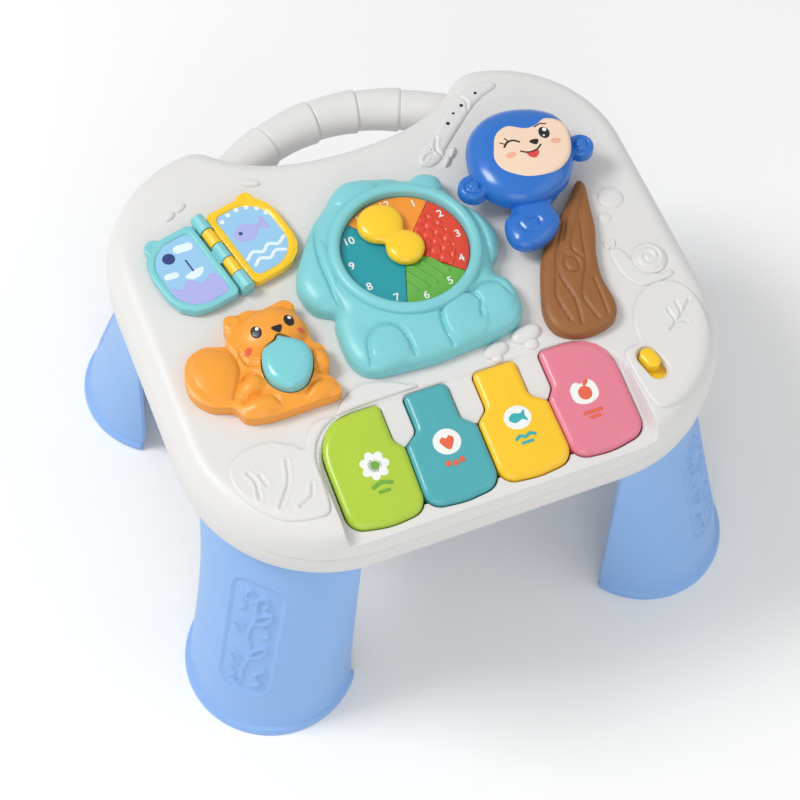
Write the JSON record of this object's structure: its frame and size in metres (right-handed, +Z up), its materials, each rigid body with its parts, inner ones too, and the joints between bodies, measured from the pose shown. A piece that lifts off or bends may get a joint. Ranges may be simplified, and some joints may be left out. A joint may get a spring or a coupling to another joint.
{
  "type": "musical activity table",
  "caption": "Round-cornered activity tray on pull-off legs, with hinged piano keys, a turning clock pointer, a rocking monkey, a push nut, a slide switch and a turning book.",
  "frame": {"origin": "middle of the footprint at floor height, on the flat bottoms of the feet", "axes": "+Z up, +Y towards the carrying handle, +X to the right of a child at the keys"},
  "size_m": [0.2802, 0.2452, 0.1843],
  "materials": {
    "white_shell": "satin moulded",
    "leg_blue": "satin moulded",
    "turquoise": "soft gloss",
    "orange": "soft gloss",
    "lime": "glossy",
    "teal": "glossy",
    "yellow": "glossy",
    "pink": "glossy",
    "red": "glossy",
    "green": "glossy",
    "blue": "glossy",
    "skin": "satin",
    "brown": "satin with grain grooves",
    "steel": "bright zinc",
    "board_green": "solder mask",
    "dark": "satin",
    "wire_red": "insulation"
  },
  "bodies": {
    "table": {"battery_contact_bridge": "steel", "battery_contact_minus": "steel", "battery_contact_plus": "steel", "battery_door": "white_shell", "battery_left": "dark", "battery_right": "dark", "book_bracket": "turquoise", "book_rod": "steel", "bottom_casing": "white_shell", "carry_handle": "white_shell", "case_screw_1": "steel", "case_screw_2": "steel", "case_screw_3": "steel", "case_screw_4": "steel", "case_screw_5": "steel", "case_screw_6": "steel", "circuit_board": "board_green", "dial_insert_green": "green", "dial_insert_orange": "orange", "dial_insert_red": "red", "dial_insert_teal": "teal", "door_screw": "steel", "elephant_body": "turquoise", "figure_screw_1": "steel", "figure_screw_2": "steel", "figure_screw_3": "steel", "figure_screw_4": "steel", "figure_screw_5": "steel", "key_rod": "steel", "key_spring_green": "steel", "key_spring_pink": "steel", "key_spring_teal": "steel", "key_spring_yellow": "steel", "lead_wire_battery": "dark", "lead_wire_speaker": "wire_red", "nut_spring": "steel", "speaker": "dark", "squirrel_body": "orange", "switch_body": "steel", "top_casing": "white_shell", "tree_trunk": "brown"},
    "clock": {"clock_pointer": "yellow", "pointer_clip": "steel"},
    "nut": {"nut_button": "turquoise"},
    "monkey": {"monkey_body": "blue", "monkey_face": "skin", "monkey_pin": "steel"},
    "switch": {"switch_knob": "yellow"},
    "leaf_left_part": {"leaf_left": "turquoise"},
    "leaf_right_part": {"leaf_right": "yellow"},
    "key_green_part": {"key_green": "lime"},
    "key_teal_part": {"key_teal": "teal"},
    "key_yellow_part": {"key_yellow": "yellow"},
    "key_pink_part": {"key_pink": "pink"},
    "leg_front_left_part": {"leg_front_left": "leg_blue"},
    "leg_front_right_part": {"leg_front_right": "leg_blue"},
    "leg_back_left_part": {"leg_back_left": "leg_blue"},
    "leg_back_right_part": {"leg_back_right": "leg_blue"}
  },
  "joints": [
    {"name": "pointer_spin", "type": "hinge", "parent": "table", "child": "clock", "pos_m": [0, 0.01145, 0.1727], "axis": [0, 0, 1], "continuous": true},
    {"name": "key_green_press", "type": "hinge", "parent": "table", "child": "key_green_part", "pos_m": [0, -0.04705, 0.1532], "axis": [1, 0, 0], "range_deg": [0, 3.5], "stiffness_Nm_per_rad": 1.2, "deforming": ["key_spring_green"]},
    {"name": "key_teal_press", "type": "hinge", "parent": "table", "child": "key_teal_part", "pos_m": [0, -0.04705, 0.1532], "axis": [1, 0, 0], "range_deg": [0, 3.5], "stiffness_Nm_per_rad": 1.2, "deforming": ["key_spring_teal"]},
    {"name": "key_yellow_press", "type": "hinge", "parent": "table", "child": "key_yellow_part", "pos_m": [0, -0.04705, 0.1532], "axis": [1, 0, 0], "range_deg": [0, 3.5], "stiffness_Nm_per_rad": 1.2, "deforming": ["key_spring_yellow"]},
    {"name": "key_pink_press", "type": "hinge", "parent": "table", "child": "key_pink_part", "pos_m": [0, -0.04705, 0.1532], "axis": [1, 0, 0], "range_deg": [0, 3.5], "stiffness_Nm_per_rad": 1.2, "deforming": ["key_spring_pink"]},
    {"name": "nut_press", "type": "slide", "parent": "table", "child": "nut", "axis": [0, 0, -1], "range_m": [0, 0.003], "stiffness_N_per_m": 400, "deforming": ["nut_spring"]},
    {"name": "monkey_rock", "type": "hinge", "parent": "table", "child": "monkey", "pos_m": [0.054, 0.00545, 0.161], "axis": [0, 0, 1], "range_deg": [-10, 4]},
    {"name": "leaf_left_turn", "type": "hinge", "parent": "table", "child": "leaf_left_part", "pos_m": [-0.0755, 0.04095, 0.1665], "axis": [-0.2215, 0.9751, 0], "range_deg": [0, 180]},
    {"name": "leaf_right_turn", "type": "hinge", "parent": "table", "child": "leaf_right_part", "pos_m": [-0.0755, 0.04095, 0.1665], "axis": [0.2215, -0.9751, 0], "range_deg": [0, 180]},
    {"name": "switch_slide", "type": "slide", "parent": "table", "child": "switch", "axis": [0.2419, -0.9703, 0], "range_m": [0, 0.004]},
    {"name": "leg_front_left_pull", "type": "slide", "parent": "table", "child": "leg_front_left_part", "axis": [0, 0, -1], "range_m": [0, 0.016]},
    {"name": "leg_front_right_pull", "type": "slide", "parent": "table", "child": "leg_front_right_part", "axis": [0, 0, -1], "range_m": [0, 0.016]},
    {"name": "leg_back_left_pull", "type": "slide", "parent": "table", "child": "leg_back_left_part", "axis": [0, 0, -1], "range_m": [0, 0.016]},
    {"name": "leg_back_right_pull", "type": "slide", "parent": "table", "child": "leg_back_right_part", "axis": [0, 0, -1], "range_m": [0, 0.016]}
  ]
}
